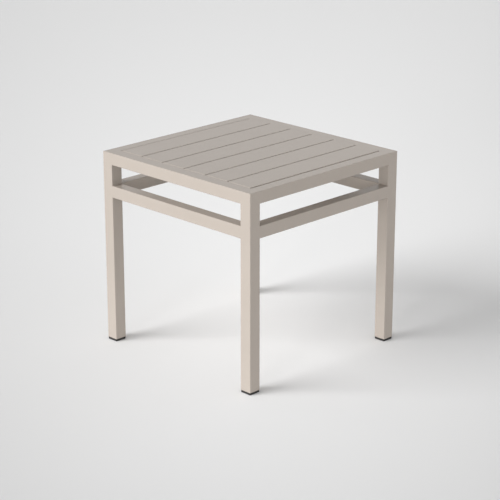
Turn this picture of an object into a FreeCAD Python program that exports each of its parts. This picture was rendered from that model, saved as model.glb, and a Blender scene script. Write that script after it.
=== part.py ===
# Square patio side table: a welded frame of square tube with a slatted top and push-in feet.
# The origin is on the floor under the table's centre, +Z is up, the front is towards -Y and
# the right side towards +X. Lengths are in millimetres.
import FreeCAD, Part
import math
import os
import Sketcher

Vector = FreeCAD.Vector
Rotation = FreeCAD.Rotation

DRIVING = [
    ("table_width", 508, "outer size from left to right"),
    ("table_depth", 508, "outer size from front to back"),
    ("frame_height", 492, "floor to the top of the frame"),
    ("leg_side", 31.75, "outer side of the square leg tube"),
    ("leg_wall", 2, "wall of the leg tube"),
    ("edge_radius", 1.5, "outer radius along the edges of legs and rails"),
    ("rail_setback", 1.75, "step from a leg's inner face back to the other rails' inner faces"),
    ("slat_rail_depth", 33, "depth of the front and back top rails, which meet the slat ends"),
    ("rail_height", 30, "height of the rail tube"),
    ("rail_wall", 1.5, "wall of the rail tube"),
    ("rail_gap", 53, "clear height between the top frame and the lower ring"),
    ("weep_diameter", 5, "drain hole in the underside of a rail"),
    ("weep_margin", 30, "end of a rail to its drain hole"),
    ("cap_thickness", 3, "plate let into the top of a leg"),
    ("cap_chamfer", 0.6, "lead-in round the plate's lower edge"),
    ("slat_count", 6, "slats side by side"),
    ("slat_gap", 3, "gap between two slats"),
    ("slat_leg_clearance", 1, "outer slat to the line of the legs' inner faces"),
    ("slat_end_gap", 0.2, "slat end to the rail"),
    ("slat_height", 14, "height of the slat section"),
    ("slat_wall", 1.2, "wall and web of the slat section"),
    ("slat_edge_radius", 1.2, "outer radius along a slat's edges"),
    ("slat_end_radius", 0.3, "rounding of a slat's upper end edges"),
    ("slat_proud", 0.6, "rise of the slats above the frame"),
    ("slat_screw_spacing", 36, "distance between the two screws across a slat"),
    ("ledge_width", 20, "flat leg of the angle under the slat ends"),
    ("ledge_thickness", 2, "thickness of the angle"),
    ("ledge_lift", 2.6, "underside of the top rails up to the lower edge of the ledges"),
    ("ledge_end_gap", 1, "end of a ledge to the leg"),
    ("ledge_screw_inset", 12, "rail face to the line of screws in the ledge"),
    ("ledge_rivet_count", 4, "rivets that hold a ledge"),
    ("ledge_rivet_margin", 40, "end of a ledge to its first rivet"),
    ("bar_width", 30, "width of the channel under the slats"),
    ("bar_height", 12, "height of the channel"),
    ("bar_thickness", 2, "thickness of the channel"),
    ("bar_end_gap", 1, "end of the channel to the rail"),
    ("cleat_thickness", 2, "thickness of the angle that carries the channel's end"),
    ("cleat_clearance", 0.5, "cleat to each flange of the channel"),
    ("cleat_margin", 9, "screw to the free edge of the cleat"),
    ("cleat_rivet_count", 2, "rivets that hold a cleat"),
    ("cleat_rivet_spacing", 14, "distance between two rivets of a cleat"),
    ("cleat_rivet_clearance", 1, "flat leg of a cleat down to its rivets' domes"),
    ("hole_clearance", 0.1, "radial room of a fastener in its hole"),
    ("screw_diameter", 4, "outside of the screw's thread"),
    ("screw_length", 10, "seat of the head to the tip"),
    ("screw_tip", 2, "length of the pointed tip"),
    ("screw_head_diameter", 7.6, "pan head of the screw"),
    ("screw_head_height", 2.4, "height of the pan head"),
    ("screw_head_round", 0.9, "chamfer round the pan head"),
    ("screw_recess_length", 4.4, "arm to arm across the cross recess"),
    ("screw_recess_width", 1, "width of an arm of the cross recess"),
    ("screw_recess_depth", 1.5, "depth of the cross recess"),
    ("rivet_diameter", 4, "shank of the blind rivet"),
    ("rivet_head_diameter", 8, "dome of the rivet"),
    ("rivet_head_height", 1.3, "height of the dome"),
    ("rivet_head_round", 0.7, "chamfer round the dome"),
    ("rivet_pin_diameter", 2.2, "hole that the pulled pin leaves in the dome"),
    ("rivet_pin_depth", 0.8, "depth of that hole"),
    ("rivet_tail_diameter", 6, "bulb behind the wall"),
    ("rivet_tail_length", 4, "length of the bulb"),
    ("rivet_rise", 4.5, "lower edge of a ledge or cleat up to its rivets"),
    ("foot_height", 6, "flange of the foot under the leg"),
    ("foot_inset", 0.3, "leg face to flange face"),
    ("foot_corner_radius", 2, "rounding of the flange's upright edges"),
    ("foot_edge_radius", 0.8, "rounding of the flange's lower edges"),
    ("plug_depth", 20, "length of the foot's plug in the leg"),
    ("plug_wall", 2, "wall of the plug"),
    ("plug_clearance", 0.6, "plug to the bore of the leg, bridged by the fins"),
    ("fin_count", 3, "fins round the plug"),
    ("fin_height", 1.2, "height of a fin"),
    ("fin_pitch", 6, "distance from fin to fin"),
    ("fin_rise", 4, "flange to the first fin"),
]

WORKED_OUT = [
    ("half_width", "dim.table_width / 2"),
    ("half_depth", "dim.table_depth / 2"),
    ("leg_bore", "dim.leg_side - 2 * dim.leg_wall"),
    ("leg_length", "dim.frame_height - dim.foot_height"),
    ("rail_depth", "dim.leg_side - dim.rail_setback"),
    ("span_x", "dim.table_width - 2 * dim.leg_side"),
    ("span_y", "dim.table_depth - 2 * dim.leg_side"),
    ("inner_x", "half_width - rail_depth"),
    ("inner_y", "half_depth - dim.slat_rail_depth"),
    ("top_rail_low", "dim.frame_height - dim.rail_height"),
    ("top_rail_mid", "dim.frame_height - dim.rail_height / 2"),
    ("lower_rail_mid", "top_rail_mid - dim.rail_height - dim.rail_gap"),
    ("slat_field", "span_x - 2 * dim.slat_leg_clearance + dim.slat_gap"),
    ("slat_pitch", "slat_field / dim.slat_count"),
    ("slat_width", "slat_pitch - dim.slat_gap"),
    ("slat_length", "2 * (inner_y - dim.slat_end_gap)"),
    ("slat_row", "(dim.slat_count - 1) * slat_pitch"),
    ("slat_low", "dim.frame_height + dim.slat_proud - dim.slat_height"),
    ("slat_mid", "slat_low + dim.slat_height / 2"),
    ("slat_cell", "(slat_width - 3 * dim.slat_wall) / 2"),
    ("screw_line", "inner_y - dim.ledge_screw_inset"),
    ("first_screw", "-(slat_row + dim.slat_screw_spacing) / 2"),
    ("second_screw", "first_screw + dim.slat_screw_spacing"),
    ("screw_hole", "dim.screw_diameter / 2 + dim.hole_clearance"),
    ("rivet_hole", "dim.rivet_diameter / 2 + dim.hole_clearance"),
    ("ledge_low", "top_rail_low + dim.ledge_lift"),
    ("ledge_drop", "slat_low - ledge_low"),
    ("ledge_length", "span_x - 2 * dim.ledge_end_gap"),
    ("ledge_rivet_row", "ledge_length - 2 * dim.ledge_rivet_margin"),
    ("ledge_rivet_level", "ledge_low + dim.rivet_rise"),
    ("bar_seat", "slat_low - dim.bar_thickness"),
    ("bar_length", "2 * (inner_x - dim.bar_end_gap)"),
    ("cleat_dome_top", "bar_seat - dim.cleat_thickness - dim.cleat_rivet_clearance"),
    ("cleat_rivet_level", "cleat_dome_top - dim.rivet_head_diameter / 2"),
    ("cleat_drop", "bar_seat - cleat_rivet_level + dim.rivet_rise"),
    ("cleat_width", "dim.bar_width - 2 * (dim.bar_thickness + dim.cleat_clearance)"),
    ("cleat_rivet_row", "(dim.cleat_rivet_count - 1) * dim.cleat_rivet_spacing"),
    ("cleat_screw", "inner_x + first_screw"),
    ("cleat_reach", "cleat_screw + dim.cleat_margin"),
    ("plug_half", "leg_bore / 2 - dim.plug_clearance"),
    ("fin_row", "(dim.fin_count - 1) * dim.fin_pitch"),
    ("weep_row_x", "span_x - 2 * dim.weep_margin"),
    ("weep_row_y", "span_y - 2 * dim.weep_margin"),
]

# Each side's turn about Z from the front, and its outward direction.
SIDES = {"front": (0, (0, -1)), "right": (90, (1, 0)), "back": (180, (0, 1)), "left": (270, (-1, 0))}
# Each corner's turn about Z from the front left one, and its outward direction.
CORNERS = {
    "front_left": (0, (-1, -1)),
    "front_right": (90, (1, -1)),
    "back_right": (180, (1, 1)),
    "back_left": (270, (-1, 1)),
}
# Each row of slat screws, and where it lies from front to back.
SCREW_LINES = {"front": "-calc.screw_line", "middle": "0", "back": "calc.screw_line"}
# A piece of a side is drawn with x into the table, y up and z along the side.
SIDE_AXES = Rotation(Vector(0, 1, 0), Vector(0, 0, 1), Vector(1, 0, 0), "XYZ")
# A slat is drawn with x across it, y up and z along it.
SLAT_AXES = Rotation(Vector(-1, 0, 0), Vector(0, 0, 1), Vector(0, 1, 0), "XYZ")
UP = Vector(0, 0, 1)

doc = FreeCAD.newDocument("side_table")
dim = doc.addObject("Spreadsheet::Sheet", "dim")
calc = doc.addObject("Spreadsheet::Sheet", "calc")
nodes = []


def fill_sheets():
    for row, (alias, size, meaning) in enumerate(DRIVING, start=1):
        dim.set(f"A{row}", alias)
        dim.set(f"B{row}", str(size))
        dim.setAlias(f"B{row}", alias)
        dim.set(f"C{row}", meaning)
    for row, (alias, formula) in enumerate(WORKED_OUT, start=1):
        calc.set(f"A{row}", alias)
        calc.setAlias(f"B{row}", alias)
        calc.set(f"B{row}", f"={formula}")
    doc.recompute()


def value(expression):
    return float(dim.evalExpression(expression))


# Sketches


def sketch_on(body, name, plane, lift=None):
    sketch = body.newObject("Sketcher::SketchObject", f"{body.Label}_{name}")
    origin_plane = next(item for item in body.Origin.OriginFeatures if item.Role == plane)
    sketch.AttachmentSupport = [(origin_plane, "")]
    sketch.MapMode = "FlatFace"
    if lift:
        sketch.setExpression("AttachmentOffset.Base.z", lift)
    return sketch


def measure(sketch, kind, elements, expression):
    index = sketch.addConstraint(Sketcher.Constraint(kind, *elements, value(expression)))
    sketch.setExpression(f"Constraints[{index}]", expression)


def pin(sketch, element, point, x, y):
    measure(sketch, "DistanceX", (-1, 1, element, point), x)
    measure(sketch, "DistanceY", (-1, 1, element, point), y)


def polygon(sketch, points):
    corners = [Vector(value(x), value(y), 0) for x, y in points]
    following = corners[1:] + corners[:1]
    lines = sketch.addGeometry([Part.LineSegment(a, b) for a, b in zip(corners, following)])
    for line, next_line, (x, y) in zip(lines, lines[1:] + lines[:1], points):
        sketch.addConstraint(Sketcher.Constraint("Coincident", line, 2, next_line, 1))
        pin(sketch, line, 1, x, y)


def rectangle(sketch, half_x, half_y, middle_x="0"):
    left, right = f"{middle_x} - ({half_x})", f"{middle_x} + ({half_x})"
    polygon(sketch, [(left, f"-({half_y})"), (right, f"-({half_y})"), (right, half_y), (left, half_y)])


def rounded_rectangle(sketch, half_x, half_y, radius):
    quarters = [(1, 1), (-1, 1), (-1, -1), (1, -1)]
    centres = [(f"{x} * ({half_x} - ({radius}))", f"{y} * ({half_y} - ({radius}))") for x, y in quarters]
    arcs = []
    for quarter, (x, y) in enumerate(centres):
        ring = Part.Circle(Vector(value(x), value(y), 0), UP, value(radius))
        arcs.append(Part.ArcOfCircle(ring, quarter * math.pi / 2, (quarter + 1) * math.pi / 2))
    lines = [Part.LineSegment(a.EndPoint, b.StartPoint) for a, b in zip(arcs, arcs[1:] + arcs[:1])]
    arc_ids = sketch.addGeometry(arcs)
    line_ids = sketch.addGeometry(lines)
    for arc, line, next_arc, (x, y) in zip(arc_ids, line_ids, arc_ids[1:] + arc_ids[:1], centres):
        sketch.addConstraint(Sketcher.Constraint("Tangent", arc, 2, line, 1))
        sketch.addConstraint(Sketcher.Constraint("Tangent", line, 2, next_arc, 1))
        pin(sketch, arc, 3, x, y)
        measure(sketch, "Radius", (arc,), radius)


def circle(sketch, x, y, radius):
    ring = sketch.addGeometry(Part.Circle(Vector(value(x), value(y), 0), UP, value(radius)))
    pin(sketch, ring, 3, x, y)
    measure(sketch, "Radius", (ring,), radius)


def corner_sliver(sketch, x, y, radius, inward):
    # What a rounded corner loses. The two signs of inward point from the corner into the piece.
    inward_x, inward_y = inward
    beside, below = f"{x} + {inward_x} * {radius}", f"{y} + {inward_y} * {radius}"
    corner, level, foot = [Vector(value(a), value(b), 0) for a, b in ((x, y), (beside, y), (x, below))]
    ring = Part.Circle(Vector(level.x, foot.y, 0), UP, value(radius))
    start = [(-1, -1), (1, -1), (1, 1), (-1, 1)].index(inward) * math.pi / 2
    lines = [Part.LineSegment(corner, level), Part.LineSegment(foot, corner)]
    top, side, arc = sketch.addGeometry(lines + [Part.ArcOfCircle(ring, start, start + math.pi / 2)])
    level_end, foot_end = (2, 1) if inward_x == inward_y else (1, 2)
    sketch.addConstraint(Sketcher.Constraint("Coincident", side, 2, top, 1))
    sketch.addConstraint(Sketcher.Constraint("Coincident", top, 2, arc, level_end))
    sketch.addConstraint(Sketcher.Constraint("Coincident", side, 1, arc, foot_end))
    pin(sketch, top, 1, x, y)
    pin(sketch, top, 2, beside, y)
    pin(sketch, side, 1, x, below)
    measure(sketch, "Radius", (arc,), radius)


# Features


def new_body(label):
    body = doc.addObject("PartDesign::Body", label)
    body.Label = label
    return body


def pad(body, sketch, length, centred=False):
    feature = body.newObject("PartDesign::Pad", f"{sketch.Label}_pad")
    feature.Profile = sketch
    feature.setExpression("Length", length)
    feature.SideType = "Symmetric" if centred else "One side"
    doc.recompute()
    return feature


def cut(body, sketch, depth=None, centred=False):
    # A cut that isn't centred goes the way that the sketch's plane faces, all through unless it has a depth.
    before = body.Shape.Volume
    feature = body.newObject("PartDesign::Pocket", f"{sketch.Label}_cut")
    feature.Profile = sketch
    feature.Type = "Length" if depth else "ThroughAll"
    feature.SideType = "Symmetric" if centred else "One side"
    feature.Reversed = not centred
    if depth:
        feature.setExpression("Length", depth)
    doc.recompute()
    if not body.Shape.Volume < before:
        raise RuntimeError(f"{sketch.Label} removes nothing")
    return feature


def repeat_along_z(body, feature, row, count):
    pattern = body.newObject("PartDesign::LinearPattern", f"{feature.Label}_row")
    pattern.Originals = [feature]
    pattern.Direction = (next(item for item in body.Origin.OriginFeatures if item.Role == "Z_Axis"), [""])
    pattern.Mode = "Extent"
    pattern.setExpression("Length", row)
    pattern.setExpression("Occurrences", count)
    body.Tip = pattern
    doc.recompute()


def dress_lowest_edges(body, kind, prop, size):
    # Rounds or chamfers the edges that lie in the body's own base plane.
    base = body.Tip
    shape = base.Shape
    flat = [f"Edge{n}" for n, edge in enumerate(shape.Edges, 1) if edge.BoundBox.ZMax < value(size) / 2]
    feature = body.newObject(f"PartDesign::{kind}", f"{body.Label}_{kind}")
    feature.Base = (base, flat)
    feature.setExpression(prop, size)
    doc.recompute()


def revolve(body, sketch):
    feature = body.newObject("PartDesign::Revolution", f"{sketch.Label}_turn")
    feature.Profile = sketch
    feature.ReferenceAxis = (sketch, ["V_Axis"])
    doc.recompute()


# Places


def place(piece, rotation, x, y, z):
    piece.Placement = FreeCAD.Placement(Vector(), rotation)
    for axis, expression in zip("xyz", (x, y, z)):
        piece.setExpression(f"Placement.Base.{axis}", expression)


def place_on_side(piece, side, from_centre, level):
    turn, (x, y) = SIDES[side]
    place(piece, Rotation(UP, turn) * SIDE_AXES, f"{x} * {from_centre}", f"{y} * {from_centre}", level)


def place_at_corner(piece, corner, level):
    turn, (x, y) = CORNERS[corner]
    centre_x = f"{x} * (calc.half_width - dim.leg_side / 2)"
    centre_y = f"{y} * (calc.half_depth - dim.leg_side / 2)"
    place(piece, Rotation(UP, turn), centre_x, centre_y, level)


# Frame


def make_leg(corner):
    leg = new_body(f"leg_{corner}")
    section = sketch_on(leg, "section", "XY_Plane")
    rounded_rectangle(section, "dim.leg_side / 2", "dim.leg_side / 2", "dim.edge_radius")
    rectangle(section, "calc.leg_bore / 2", "calc.leg_bore / 2")
    pad(leg, section, "calc.leg_length")
    # The two outer upper edges are rounded, and the two against the rails stay square.
    for plane in ("XZ_Plane", "YZ_Plane"):
        sliver = sketch_on(leg, f"{plane[:2]}_rounding", plane)
        corner_sliver(sliver, "-dim.leg_side / 2", "calc.leg_length", "dim.edge_radius", (1, -1))
        cut(leg, sliver, centred=True)
    place_at_corner(leg, corner, "dim.foot_height")
    nodes.append(leg)


def make_leg_cap(corner):
    cap = new_body(f"leg_cap_{corner}")
    outline = sketch_on(cap, "outline", "XY_Plane")
    rectangle(outline, "calc.leg_bore / 2", "calc.leg_bore / 2")
    pad(cap, outline, "dim.cap_thickness")
    dress_lowest_edges(cap, "Chamfer", "Size", "dim.cap_chamfer")
    place_at_corner(cap, corner, "dim.frame_height - dim.cap_thickness")
    nodes.append(cap)


def make_rail(label, side, level, depth="calc.rail_depth"):
    runs_along_x = side in ("front", "back")
    rail = new_body(label)
    section = sketch_on(rail, "section", "XY_Plane")
    rounded_rectangle(section, f"{depth} / 2", "dim.rail_height / 2", "dim.edge_radius")
    rectangle(section, f"{depth} / 2 - dim.rail_wall", "dim.rail_height / 2 - dim.rail_wall")
    pad(rail, section, "calc.span_x" if runs_along_x else "calc.span_y", centred=True)
    weep_row = "calc.weep_row_x" if runs_along_x else "calc.weep_row_y"
    weep = sketch_on(rail, "weep", "XZ_Plane")
    for end in (-1, 1):
        circle(weep, "0", f"{end} * {weep_row} / 2", "dim.weep_diameter / 2")
    cut(rail, weep)
    middle = "half_depth" if runs_along_x else "half_width"
    place_on_side(rail, side, f"(calc.{middle} - {depth} / 2)", level)
    nodes.append(rail)
    return rail


def make_top_rail(side):
    depth = "dim.slat_rail_depth" if side in ("front", "back") else "calc.rail_depth"
    rail = make_rail(f"top_rail_{side}", side, "calc.top_rail_mid", depth)
    rivet_holes(rail, side, "calc.top_rail_mid")


def rivet_row(side):
    # Ledges are riveted to the front and back rails, cleats to the left and right ones.
    piece = "ledge" if side in ("front", "back") else "cleat"
    return f"calc.{piece}_rivet_row", f"dim.{piece}_rivet_count", f"calc.{piece}_rivet_level"


def rivet_holes(body, side, zero_level):
    row, count, level = rivet_row(side)
    holes = sketch_on(body, "rivet_hole", "YZ_Plane")
    circle(holes, f"{level} - {zero_level}", f"-{row} / 2", "calc.rivet_hole")
    repeat_along_z(body, cut(body, holes), row, count)


# Slats and what carries them


def make_slat(index):
    slat = new_body(f"slat_{index + 1}")
    section = sketch_on(slat, "section", "XY_Plane")
    rounded_rectangle(section, "calc.slat_width / 2", "dim.slat_height / 2", "dim.slat_edge_radius")
    for cell in (-1, 1):
        middle = f"{cell} * (calc.slat_cell + dim.slat_wall) / 2"
        rectangle(section, "calc.slat_cell / 2", "dim.slat_height / 2 - dim.slat_wall", middle)
    pad(slat, section, "calc.slat_length", centred=True)
    ends = sketch_on(slat, "end_rounding", "YZ_Plane")
    for end in (-1, 1):
        tip = f"{end} * calc.slat_length / 2"
        corner_sliver(ends, "dim.slat_height / 2", tip, "dim.slat_end_radius", (-1, -end))
    cut(slat, ends, centred=True)
    holes = sketch_on(slat, "screw_hole", "XZ_Plane")
    for side in (-1, 1):
        circle(holes, f"{side} * dim.slat_screw_spacing / 2", "-calc.screw_line", "calc.screw_hole")
    repeat_along_z(slat, cut(slat, holes), "2 * calc.screw_line", str(len(SCREW_LINES)))
    place(slat, SLAT_AXES, f"{index} * calc.slat_pitch - calc.slat_row / 2", "0", "calc.slat_mid")
    nodes.append(slat)


def angle_section(sketch, reach, drop, thickness):
    # The corner of the angle is at the rail's face, level with the top of its flat leg.
    inner, low = f"-({thickness})", f"-({drop})"
    flat_leg = [("0", "0"), (reach, "0"), (reach, inner)]
    polygon(sketch, flat_leg + [(thickness, inner), (thickness, low), ("0", low)])


def make_ledge(side):
    ledge = new_body(f"slat_ledge_{side}")
    section = sketch_on(ledge, "section", "XY_Plane")
    angle_section(section, "dim.ledge_width", "calc.ledge_drop", "dim.ledge_thickness")
    pad(ledge, section, "calc.ledge_length", centred=True)
    screw_holes(ledge, "dim.ledge_screw_inset")
    rivet_holes(ledge, side, "calc.slat_low")
    place_on_side(ledge, side, "calc.inner_y", "calc.slat_low")
    nodes.append(ledge)


def screw_holes(body, x):
    # Two holes for each slat, at x across the piece.
    holes = sketch_on(body, "screw_hole", "XZ_Plane")
    for z in ("calc.first_screw", "calc.second_screw"):
        circle(holes, x, z, "calc.screw_hole")
    repeat_along_z(body, cut(body, holes, centred=True), "calc.slat_row", "dim.slat_count")


def make_bar():
    bar = new_body("centre_bar")
    section = sketch_on(bar, "section", "XY_Plane")
    half, inner_half = "dim.bar_width / 2", "dim.bar_width / 2 - dim.bar_thickness"
    web, tip = "-dim.bar_thickness", "-dim.bar_height"
    polygon(section, [
        (f"-({half})", "0"), (f"-({half})", tip), (f"-({inner_half})", tip), (f"-({inner_half})", web),
        (inner_half, web), (inner_half, tip), (half, tip), (half, "0"),
    ])
    pad(bar, section, "calc.bar_length", centred=True)
    screw_holes(bar, "0")
    place(bar, SIDE_AXES, "0", "0", "calc.slat_low")
    nodes.append(bar)


def make_cleat(side):
    cleat = new_body(f"bar_cleat_{side}")
    section = sketch_on(cleat, "section", "XY_Plane")
    angle_section(section, "calc.cleat_reach", "calc.cleat_drop", "dim.cleat_thickness")
    pad(cleat, section, "calc.cleat_width", centred=True)
    hole = sketch_on(cleat, "screw_hole", "XZ_Plane")
    circle(hole, "calc.cleat_screw", "0", "calc.screw_hole")
    cut(cleat, hole, centred=True)
    rivet_holes(cleat, side, "calc.bar_seat")
    place_on_side(cleat, side, "calc.inner_x", "calc.bar_seat")
    nodes.append(cleat)


# Fasteners


def make_screw():
    # The head's seat is at the origin and the tip points up.
    screw = new_body("screw")
    half = sketch_on(screw, "half", "XZ_Plane")
    head, shank = "dim.screw_head_diameter / 2", "dim.screw_diameter / 2"
    low, shoulder = "-dim.screw_head_height", "dim.screw_head_round - dim.screw_head_height"
    polygon(half, [
        ("0", low), (f"{head} - dim.screw_head_round", low), (head, shoulder), (head, "0"),
        (shank, "0"), (shank, "dim.screw_length - dim.screw_tip"), ("0", "dim.screw_length"),
    ])
    revolve(screw, half)
    recess = sketch_on(screw, "recess", "XY_Plane", low)
    arm, width = "dim.screw_recess_length / 2", "dim.screw_recess_width / 2"
    quarter = [(arm, f"-{width}"), (arm, width), (width, width)]
    arms_of_cross = 4
    points = []
    for _ in range(arms_of_cross):
        points += quarter
        quarter = [(f"-({y})", x) for x, y in quarter]
    polygon(recess, points)
    cut(screw, recess, "dim.screw_recess_depth")
    return screw


def make_rivet(label, thickness):
    # The dome's seat is at the origin, and the shank runs up through the angle and the rail's wall.
    rivet = new_body(label)
    half = sketch_on(rivet, "half", "XZ_Plane")
    dome, shank, tail = [f"dim.rivet_{name}diameter / 2" for name in ("head_", "", "tail_")]
    low, pin_hole = "-dim.rivet_head_height", "dim.rivet_pin_diameter / 2"
    floor = "dim.rivet_pin_depth - dim.rivet_head_height"
    grip = f"{thickness} + dim.rail_wall"
    end = f"{grip} + dim.rivet_tail_length"
    polygon(half, [
        ("0", floor), (pin_hole, floor), (pin_hole, low), (f"{dome} - dim.rivet_head_round", low),
        (dome, "dim.rivet_head_round - dim.rivet_head_height"), (dome, "0"), (shank, "0"),
        (shank, grip), (tail, grip), (tail, end), ("0", end),
    ])
    revolve(rivet, half)
    return rivet


def group(label, piece, places):
    links = []
    for rotation, x, y, z in places:
        link = doc.addObject("App::Link", f"{label}_link")
        link.LinkedObject = piece
        place(link, rotation, x, y, z)
        links.append(link)
    node = doc.addObject("Part::Compound", label)
    node.Label = label
    node.Links = links
    nodes.append(node)


def make_slat_screws(row, screw):
    last = 2 * int(dim.slat_count) - 1
    places = []
    for number in range(last + 1):
        first = "calc.second_screw" if number % 2 else "calc.first_screw"
        seat = "calc.slat_low - dim.ledge_thickness"
        if row == "middle":
            # The outermost two screws of the bar also hold the cleats under it.
            seat = "calc.bar_seat - dim.cleat_thickness" if number in (0, last) else "calc.bar_seat"
        places.append((Rotation(), f"{first} + {number // 2} * calc.slat_pitch", SCREW_LINES[row], seat))
    group(f"slat_screws_{row}", screw, places)


def make_rivets(kind, side, rivet, thickness, rail_face):
    _, (x, y) = SIDES[side]
    outward = Rotation(UP, Vector(x, y, 0))
    row, count, level = rivet_row(side)
    count = int(value(count))
    seat = f"({rail_face} - {thickness})"
    places = []
    for number in range(count):
        along = f"({number} / {count - 1} * {row} - {row} / 2)"
        across_x, across_y = f"{x} * {seat} + {abs(y)} * {along}", f"{y} * {seat} + {abs(x)} * {along}"
        places.append((outward, across_x, across_y, level))
    group(f"{kind}_rivets_{side}", rivet, places)


# Feet


def make_foot(corner):
    foot = new_body(f"foot_{corner}")
    flange = sketch_on(foot, "flange", "XY_Plane")
    half = "dim.leg_side / 2 - dim.foot_inset"
    rounded_rectangle(flange, half, half, "dim.foot_corner_radius")
    pad(foot, flange, "dim.foot_height")
    dress_lowest_edges(foot, "Fillet", "Radius", "dim.foot_edge_radius")
    plug = sketch_on(foot, "plug", "XY_Plane", "dim.foot_height")
    rectangle(plug, "calc.plug_half", "calc.plug_half")
    rectangle(plug, "calc.plug_half - dim.plug_wall", "calc.plug_half - dim.plug_wall")
    pad(foot, plug, "dim.plug_depth")
    fin = sketch_on(foot, "fin", "XY_Plane", "dim.foot_height + dim.fin_rise")
    rectangle(fin, "calc.leg_bore / 2", "calc.leg_bore / 2")
    # The fins are rooted in the middle of the plug's wall.
    rectangle(fin, "calc.plug_half - dim.plug_wall / 2", "calc.plug_half - dim.plug_wall / 2")
    repeat_along_z(foot, pad(foot, fin, "dim.fin_height"), "calc.fin_row", "dim.fin_count")
    place_at_corner(foot, corner, "0")
    nodes.append(foot)


def make_table():
    for corner in CORNERS:
        make_leg(corner)
        make_leg_cap(corner)
        make_foot(corner)
    for side in SIDES:
        make_top_rail(side)
        make_rail(f"lower_rail_{side}", side, "calc.lower_rail_mid")
    for index in range(int(dim.slat_count)):
        make_slat(index)
    make_bar()
    screw = make_screw()
    ledge_rivet = make_rivet("ledge_rivet", "dim.ledge_thickness")
    cleat_rivet = make_rivet("cleat_rivet", "dim.cleat_thickness")
    for side in ("front", "back"):
        make_ledge(side)
        make_rivets("ledge", side, ledge_rivet, "dim.ledge_thickness", "calc.inner_y")
    for side in ("left", "right"):
        make_cleat(side)
        make_rivets("cleat", side, cleat_rivet, "dim.cleat_thickness", "calc.inner_x")
    for row in SCREW_LINES:
        make_slat_screws(row, screw)
    doc.recompute()


def check_table():
    for item in doc.Objects:
        if {"Invalid", "Error"} & set(item.State):
            raise RuntimeError(f"{item.Label} failed: {item.State}")
    for node in nodes:
        if node.Shape.isNull() or not node.Shape.isValid():
            raise RuntimeError(f"{node.Label} has no valid shape")


def write_parts():
    os.makedirs("parts", exist_ok=True)
    for node in nodes:
        node.Shape.exportStep(f"parts/{node.Label}.step")


fill_sheets()
make_table()
check_table()
write_parts()
print(f"{len(nodes)} nodes, {sum(node.Shape.Volume for node in nodes):.0f} cubic millimetres")
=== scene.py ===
# Looks of the square patio side table: coat, weld metal, plastic feet and screws, on a pale studio floor.
# Lengths are in metres and angles in degrees.
import math

import bpy
from mathutils import Matrix, Vector


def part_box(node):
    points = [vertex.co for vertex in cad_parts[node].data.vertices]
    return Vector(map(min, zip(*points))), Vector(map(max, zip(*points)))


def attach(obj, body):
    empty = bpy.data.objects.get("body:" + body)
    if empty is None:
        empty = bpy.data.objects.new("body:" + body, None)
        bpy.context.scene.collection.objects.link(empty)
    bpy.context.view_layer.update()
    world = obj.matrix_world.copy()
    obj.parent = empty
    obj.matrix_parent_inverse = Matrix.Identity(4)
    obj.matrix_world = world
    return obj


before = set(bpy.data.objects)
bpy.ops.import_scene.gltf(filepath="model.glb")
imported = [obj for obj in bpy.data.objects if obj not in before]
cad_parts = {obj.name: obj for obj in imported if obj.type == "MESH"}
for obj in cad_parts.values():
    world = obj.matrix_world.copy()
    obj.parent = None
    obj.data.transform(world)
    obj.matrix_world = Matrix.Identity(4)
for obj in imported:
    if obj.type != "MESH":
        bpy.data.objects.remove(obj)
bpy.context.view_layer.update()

# Camera
CAMERA_PLACE = (2.8405, -2.83986, 1.61315)
CAMERA_AZIMUTH = 45.0139
CAMERA_ELEVATION = 18.9198
CAMERA_LENS = 122.9163
CAMERA_SENSOR = 36.0

# Light: a wide soft key, a weak low fill beside it, and a world that is bright at the horizon
KEY = {"azimuth": -25.0, "elevation": 29.0, "angle": 40.0, "strength": 2.6}
FILL = {"azimuth": 20.0, "elevation": 6.0, "angle": 12.0, "strength": 0.68}
WORLD_HORIZON = 1.5
WORLD_ZENITH = 0.06
LAMP_DISTANCE = 3.0

# Floor: a pool of light painted into the floor's colour, brightest behind the table, that gets wider and
# greyer with distance
FLOOR_HALF = 20.0
PAINTED_POOL_CENTRE = (-0.27, 0.31, 0.0)
PAINTED_POOL_TURN = 43.62
PAINTED_POOL_REACH = (0.7036, 1.8475, 1.0)
PAINTED_POOL_WIDENING = 0.4836
PAINTED_POOL_NARROWEST = 0.2
PAINTED_POOL_EDGE = 1.6189
PAINTED_POOL_BRIGHT = 0.953
PAINTED_POOL_GREY = 0.6925
BACKDROP = 0.66

# Weld metal; the two edge radii are those of the solids
EDGE_RADIUS = 0.0015
SLAT_EDGE_RADIUS = 0.0012
QUARTER_TURN = 90.0
FILL_STEPS = 6
FILL_SINK = 0.00005
BEAD_RADIUS = 0.0014
BEAD_END = 0.002
BEAD_TIP = 0.4
BEAD_RIPPLE = 0.07
BEAD_PITCH = 0.0012
BEAD_RINGS = 4
BEAD_SIDES = 8
SHARP_ANGLE = 35.0
SIDE_TURNS = {"front": 0, "right": 90, "back": 180, "left": 270}

# Part of a noise's values that colours and roughness are spread over
NOISE_LOW = 0.3
NOISE_HIGH = 0.7

# Powder coat
COAT_LIGHT = (0.413, 0.365, 0.323)
COAT_DARK = (0.395, 0.349, 0.308)
COAT_GLOSS = 0.32
COAT_ROUGHNESS = (0.17, 0.23)
COAT_MOTTLE = {"scale": 14.0, "detail": 3.0}
COAT_GRAIN = {"scale": 2400.0, "detail": 2.0}
COAT_PEEL = {"scale": 420.0, "detail": 1.0}
COAT_GRAIN_SHARE = 0.35
COAT_GRAIN_DEPTH = 0.000004
COAT_PEEL_DEPTH = 0.00003

# Plastic of the feet
PLASTIC_LIGHT = (0.021, 0.0195, 0.018)
PLASTIC_DARK = (0.012, 0.0113, 0.0107)
PLASTIC_ROUGHNESS = (0.45, 0.6)
PLASTIC_CLOUD = {"scale": 90.0, "detail": 4.0}
PLASTIC_GRAIN = {"scale": 1800.0, "detail": 3.0}
PLASTIC_GRAIN_DEPTH = 0.00003

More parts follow.
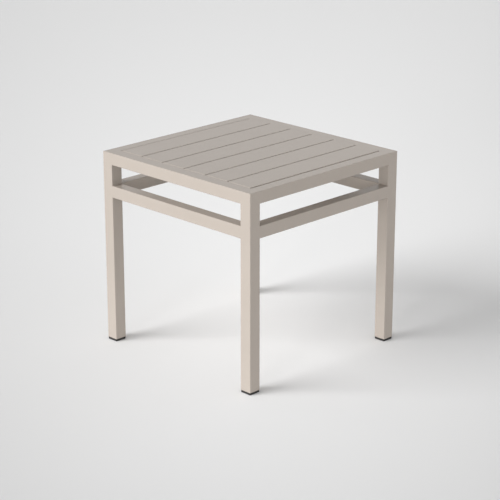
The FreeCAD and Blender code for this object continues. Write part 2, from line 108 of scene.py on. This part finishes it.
# Steel of the screws
STEEL_LIGHT = (0.63, 0.62, 0.6)
STEEL_DARK = (0.5, 0.49, 0.475)
STEEL_ROUGHNESS = (0.25, 0.42)
STEEL_CLOUD = {"scale": 300.0, "detail": 3.0}
STEEL_LINES = {"scale": 5000.0, "detail": 3.0}
STEEL_LINE_STRETCH = (1.0, 0.08, 1.0)
STEEL_LINE_DEPTH = 0.00001


def link_object(name, data):
    made = bpy.data.objects.new(name, data)
    bpy.context.scene.collection.objects.link(made)
    return made


def direction(azimuth, elevation):
    # Azimuth 0 is towards the front and 90 towards the right side.
    a, e = math.radians(azimuth), math.radians(elevation)
    return Vector((math.sin(a) * math.cos(e), -math.cos(a) * math.cos(e), math.sin(e)))


def face_from(made, towards):
    made.rotation_mode = "QUATERNION"
    made.rotation_quaternion = (-towards).to_track_quat("-Z", "Y")


def add_camera():
    camera = link_object("camera", bpy.data.cameras.new("camera"))
    camera.location = CAMERA_PLACE
    face_from(camera, direction(CAMERA_AZIMUTH, CAMERA_ELEVATION))
    camera.data.sensor_width = CAMERA_SENSOR
    camera.data.lens = CAMERA_LENS
    bpy.context.scene.camera = camera


# Light


def add_sun(name, azimuth, elevation, angle, strength):
    lamp = bpy.data.lights.new(name, "SUN")
    lamp.angle = math.radians(angle)
    lamp.energy = strength
    sun = link_object(name, lamp)
    towards = direction(azimuth, elevation)
    sun.location = towards * LAMP_DISTANCE
    face_from(sun, towards)


def add_world():
    world = bpy.data.worlds.new("studio")
    bpy.context.scene.world = world
    world.use_nodes = True
    nodes, links = world.node_tree.nodes, world.node_tree.links
    nodes.clear()
    place = nodes.new("ShaderNodeTexCoord")
    apart = nodes.new("ShaderNodeSeparateXYZ")
    links.new(place.outputs["Generated"], apart.inputs["Vector"])
    fade = nodes.new("ShaderNodeMapRange")
    fade.inputs["To Min"].default_value = WORLD_HORIZON
    fade.inputs["To Max"].default_value = WORLD_ZENITH
    links.new(apart.outputs["Z"], fade.inputs["Value"])
    light = nodes.new("ShaderNodeBackground")
    light.inputs["Color"].default_value = (1, 1, 1, 1)
    links.new(fade.outputs["Result"], light.inputs["Strength"])
    # What the camera, gloss and glass see is a plain backdrop of the far floor's tone.
    seen = nodes.new("ShaderNodeBackground")
    seen.inputs["Color"].default_value = (BACKDROP, BACKDROP, BACKDROP, 1)
    path = nodes.new("ShaderNodeLightPath")
    looks = path.outputs["Is Camera Ray"]
    for ray in ("Is Glossy Ray", "Is Transmission Ray"):
        either = nodes.new("ShaderNodeMath")
        either.operation = "MAXIMUM"
        links.new(looks, either.inputs[0])
        links.new(path.outputs[ray], either.inputs[1])
        looks = either.outputs["Value"]
    mix = nodes.new("ShaderNodeMixShader")
    links.new(looks, mix.inputs["Fac"])
    links.new(light.outputs["Background"], mix.inputs[1])
    links.new(seen.outputs["Background"], mix.inputs[2])
    output = nodes.new("ShaderNodeOutputWorld")
    links.new(mix.outputs["Shader"], output.inputs["Surface"])


# Materials


def new_material(name):
    material = bpy.data.materials.new(name)
    material.use_nodes = True
    return material, material.node_tree.nodes, material.node_tree.links


def noise(nodes, links, place, scale, detail):
    made = nodes.new("ShaderNodeTexNoise")
    made.inputs["Scale"].default_value = scale
    made.inputs["Detail"].default_value = detail
    links.new(place, made.inputs["Vector"])
    return made.outputs["Fac"]


def ramp(nodes, links, value, dark, light):
    made = nodes.new("ShaderNodeValToRGB")
    made.color_ramp.elements[0].position = NOISE_LOW
    made.color_ramp.elements[0].color = (*dark, 1)
    made.color_ramp.elements[1].position = NOISE_HIGH
    made.color_ramp.elements[1].color = (*light, 1)
    links.new(value, made.inputs["Fac"])
    return made.outputs["Color"]


def span(nodes, links, value, low, high):
    made = nodes.new("ShaderNodeMapRange")
    made.inputs["From Min"].default_value = NOISE_LOW
    made.inputs["From Max"].default_value = NOISE_HIGH
    made.inputs["To Min"].default_value = low
    made.inputs["To Max"].default_value = high
    links.new(value, made.inputs["Value"])
    return made.outputs["Result"]


def bump(nodes, links, height, distance, under=None):
    made = nodes.new("ShaderNodeBump")
    made.inputs["Distance"].default_value = distance
    links.new(height, made.inputs["Height"])
    if under:
        links.new(under, made.inputs["Normal"])
    return made.outputs["Normal"]


def coat_material():
    # Powder coat: broad faint mottling, fine grain in the colour, and the orange peel of the flowed powder.
    material, nodes, links = new_material("powder_coat")
    shader = nodes["Principled BSDF"]
    shader.inputs["Specular IOR Level"].default_value = COAT_GLOSS
    place = nodes.new("ShaderNodeTexCoord").outputs["Object"]
    mottle = noise(nodes, links, place, **COAT_MOTTLE)
    grain = noise(nodes, links, place, **COAT_GRAIN)
    peel = noise(nodes, links, place, **COAT_PEEL)
    blend = nodes.new("ShaderNodeMix")
    blend.inputs["Factor"].default_value = COAT_GRAIN_SHARE
    links.new(mottle, blend.inputs["A"])
    links.new(grain, blend.inputs["B"])
    colour = ramp(nodes, links, blend.outputs["Result"], COAT_DARK, COAT_LIGHT)
    links.new(colour, shader.inputs["Base Color"])
    links.new(span(nodes, links, peel, *COAT_ROUGHNESS), shader.inputs["Roughness"])
    waves = bump(nodes, links, peel, COAT_PEEL_DEPTH)
    links.new(bump(nodes, links, grain, COAT_GRAIN_DEPTH, waves), shader.inputs["Normal"])
    return material


def plastic_material():
    # Moulded black plastic: an even eroded grain with faint cloudy wear.
    material, nodes, links = new_material("foot_plastic")
    shader = nodes["Principled BSDF"]
    place = nodes.new("ShaderNodeTexCoord").outputs["Object"]
    cloud = noise(nodes, links, place, **PLASTIC_CLOUD)
    grain = noise(nodes, links, place, **PLASTIC_GRAIN)
    links.new(ramp(nodes, links, cloud, PLASTIC_DARK, PLASTIC_LIGHT), shader.inputs["Base Color"])
    links.new(span(nodes, links, cloud, *PLASTIC_ROUGHNESS), shader.inputs["Roughness"])
    links.new(bump(nodes, links, grain, PLASTIC_GRAIN_DEPTH), shader.inputs["Normal"])
    return material


def steel_material():
    # Plated steel: fine drawn lines along one direction, and small clouds in the plating.
    material, nodes, links = new_material("screw_steel")
    shader = nodes["Principled BSDF"]
    place = nodes.new("ShaderNodeTexCoord").outputs["Object"]
    stretch = nodes.new("ShaderNodeMapping")
    stretch.inputs["Scale"].default_value = STEEL_LINE_STRETCH
    links.new(place, stretch.inputs["Vector"])
    lines = noise(nodes, links, stretch.outputs["Vector"], **STEEL_LINES)
    cloud = noise(nodes, links, place, **STEEL_CLOUD)
    shader.inputs["Metallic"].default_value = 1.0
    links.new(ramp(nodes, links, cloud, STEEL_DARK, STEEL_LIGHT), shader.inputs["Base Color"])
    links.new(span(nodes, links, lines, *STEEL_ROUGHNESS), shader.inputs["Roughness"])
    links.new(bump(nodes, links, lines, STEEL_LINE_DEPTH), shader.inputs["Normal"])
    return material


def floor_material():
    # The floor's colour carries a painted pool of light: brightest behind the table and greyer towards its
    # edge.
    material, nodes, links = new_material("floor")
    shader = nodes["Principled BSDF"]
    shader.inputs["Roughness"].default_value = 1.0
    shader.inputs["Specular IOR Level"].default_value = 0.0
    place = nodes.new("ShaderNodeTexCoord")
    pool = nodes.new("ShaderNodeMapping")
    pool.vector_type = "TEXTURE"
    pool.inputs["Location"].default_value = PAINTED_POOL_CENTRE
    pool.inputs["Rotation"].default_value = (0, 0, math.radians(PAINTED_POOL_TURN))
    pool.inputs["Scale"].default_value = PAINTED_POOL_REACH
    links.new(place.outputs["Object"], pool.inputs["Vector"])
    radius = nodes.new("ShaderNodeVectorMath")
    radius.operation = "LENGTH"
    links.new(pool.outputs["Vector"], radius.inputs[0])
    apart = nodes.new("ShaderNodeSeparateXYZ")
    links.new(pool.outputs["Vector"], apart.inputs["Vector"])
    widening = nodes.new("ShaderNodeMath")
    widening.operation = "MULTIPLY_ADD"
    widening.inputs[1].default_value = PAINTED_POOL_WIDENING
    widening.inputs[2].default_value = 1.0
    links.new(apart.outputs["Y"], widening.inputs[0])
    width = nodes.new("ShaderNodeMath")
    width.operation = "MAXIMUM"
    width.inputs[1].default_value = PAINTED_POOL_NARROWEST
    links.new(widening.outputs["Value"], width.inputs[0])
    spread = nodes.new("ShaderNodeMath")
    spread.operation = "DIVIDE"
    links.new(radius.outputs["Value"], spread.inputs[0])
    links.new(width.outputs["Value"], spread.inputs[1])
    # Painted light: the colour runs from the pool's bright middle to grey at its edge.
    tone = nodes.new("ShaderNodeMapRange")
    tone.inputs["From Max"].default_value = PAINTED_POOL_EDGE
    tone.inputs["To Min"].default_value = PAINTED_POOL_BRIGHT
    tone.inputs["To Max"].default_value = PAINTED_POOL_GREY
    links.new(spread.outputs["Value"], tone.inputs["Value"])
    links.new(tone.outputs["Result"], shader.inputs["Base Color"])
    return material


def add_floor():
    mesh = bpy.data.meshes.new("floor")
    corners = [(x * FLOOR_HALF, y * FLOOR_HALF, 0) for x, y in ((-1, -1), (1, -1), (1, 1), (-1, 1))]
    mesh.from_pydata(corners, [], [tuple(range(len(corners)))])
    mesh.materials.append(floor_material())
    link_object("floor", mesh)


# Weld metal, drawn on the front side with x along it and y inwards, and turned to the others


def rounding(distance):
    # How far a rounded edge lies behind its flat face, at a distance from the edge.
    if distance >= EDGE_RADIUS:
        return 0.0
    return EDGE_RADIUS - math.sqrt(EDGE_RADIUS**2 - (EDGE_RADIUS - distance) ** 2)


def skin(rings):
    # Vertices and faces of a closed body through rings of equal length.
    count = len(rings[0])
    points = [point for ring in rings for point in ring]
    faces = [tuple(reversed(range(count))), tuple(range(len(points) - count, len(points)))]
    for start in range(0, len(points) - count, count):
        for n in range(count):
            after = (n + 1) % count
            faces.append((start + n, start + after, start + count + after, start + count + n))
    return points, faces


def groove_fill(low, high, end):
    # Weld ground flush in the groove between a rail's square end and the leg's rounded edge.
    turns = [math.radians(QUARTER_TURN * step / FILL_STEPS) for step in range(1, FILL_STEPS + 1)]
    levels = [EDGE_RADIUS * (1 - math.cos(a)) for a in turns]
    heights = [low.z + level for level in levels] + [high.z - level for level in reversed(levels)]
    rings = []
    for z in heights:
        outer = rounding(min(z - low.z, high.z - z))
        ring = [(end * high.x, low.y + outer, z)]
        for step in range(FILL_STEPS + 1):
            depth = outer + (EDGE_RADIUS - outer) * step / FILL_STEPS
            sink = FILL_SINK if step else 0.0
            ring.append((end * (high.x + rounding(depth) + sink), low.y + depth, z))
        rings.append(ring if end > 0 else ring[::-1])
    return rings


def slat_end_fill(rail, slat):
    # Weld dressed level with the rail, in the groove between its rounded inner edge and a slat's end.
    (_, rail_high), (slat_low, slat_high) = rail, slat
    turns = [math.radians(QUARTER_TURN * step / FILL_STEPS) for step in range(FILL_STEPS + 1)]
    middle = (rail_high.y - EDGE_RADIUS, rail_high.z - EDGE_RADIUS)
    reach = EDGE_RADIUS - FILL_SINK
    section = [(middle[0], rail_high.z)]
    section += [(middle[0] + reach * math.sin(a), middle[1] + reach * math.cos(a)) for a in turns]
    section.append((slat_low.y + FILL_SINK, middle[1]))
    section.append((slat_low.y + FILL_SINK, rail_high.z))
    ends = (slat_low.x + SLAT_EDGE_RADIUS, slat_high.x - SLAT_EDGE_RADIUS)
    return [[(x, y, z) for y, z in section] for x in ends]


def bead(start, finish):
    # Rippled fillet weld along a straight corner, tapered at both ends.
    along = finish - start
    across = along.orthogonal().normalized()
    beside = along.normalized().cross(across)
    count = round(along.length / BEAD_PITCH * BEAD_RINGS)
    rings = []
    for n in range(count + 1):
        t = n / count
        ripple = 1 + BEAD_RIPPLE * math.sin(2 * math.pi * n / BEAD_RINGS)
        taper = min(1.0, BEAD_TIP + min(t, 1 - t) * along.length / BEAD_RADIUS)
        radius = BEAD_RADIUS * ripple * taper
        turns = [2 * math.pi * k / BEAD_SIDES for k in range(BEAD_SIDES)]
        middle = start + t * along
        rings.append([middle + radius * (math.cos(a) * across + math.sin(a) * beside) for a in turns])
    return rings


def add_weld(name, bodies, turn, material):
    points, faces = [], []
    for rings in bodies:
        more, sides = skin(rings)
        faces += [tuple(n + len(points) for n in face) for face in sides]
        points += more
    mesh = bpy.data.meshes.new(name)
    mesh.from_pydata(points, [], faces)
    mesh.transform(Matrix.Rotation(math.radians(turn), 4, "Z"))
    mesh.polygons.foreach_set("use_smooth", [True] * len(faces))
    mesh.set_sharp_from_angle(angle=math.radians(SHARP_ANGLE))
    mesh.materials.append(material)
    weld = link_object(name, mesh)
    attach(weld, "root")


def add_welds(material):
    for level in ("top", "lower"):
        low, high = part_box(f"{level}_rail_front")
        end_fills = [groove_fill(low, high, end) for end in (-1, 1)]
        for side, turn in SIDE_TURNS.items():
            side_low, side_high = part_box(f"{level}_rail_{side}")
            inner = low.y + min(side_high.x - side_low.x, side_high.y - side_low.y)
            beads = []
            for x in (low.x, high.x):
                under = [Vector((x, y, low.z)) for y in (low.y + BEAD_END, inner - BEAD_END)]
                beads.append(bead(*under))
                if level == "lower":
                    corner = [Vector((x, inner, z)) for z in (low.z + BEAD_END, high.z - BEAD_END)]
                    beads.append(bead(*corner))
            add_weld(f"{level}_weld_flush_{side}", end_fills, turn, material)
            add_weld(f"{level}_weld_beads_{side}", beads, turn, material)
    slats = [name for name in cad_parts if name.removeprefix("slat_").isdigit()]
    slat_fills = [slat_end_fill(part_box("top_rail_front"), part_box(name)) for name in slats]
    for side in ("front", "back"):
        add_weld(f"slat_end_weld_{side}", slat_fills, SIDE_TURNS[side], material)


def dress_nodes(coat):
    plastic, steel = plastic_material(), steel_material()
    for name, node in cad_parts.items():
        node.data.materials.clear()
        if name.startswith("foot"):
            node.data.materials.append(plastic)
        elif "screws" in name:
            node.data.materials.append(steel)
        else:
            node.data.materials.append(coat)


coat = coat_material()
dress_nodes(coat)
add_welds(coat)
add_camera()
add_world()
add_sun("key", **KEY)
add_sun("fill", **FILL)
add_floor()
bpy.context.scene.view_settings.view_transform = "Standard"
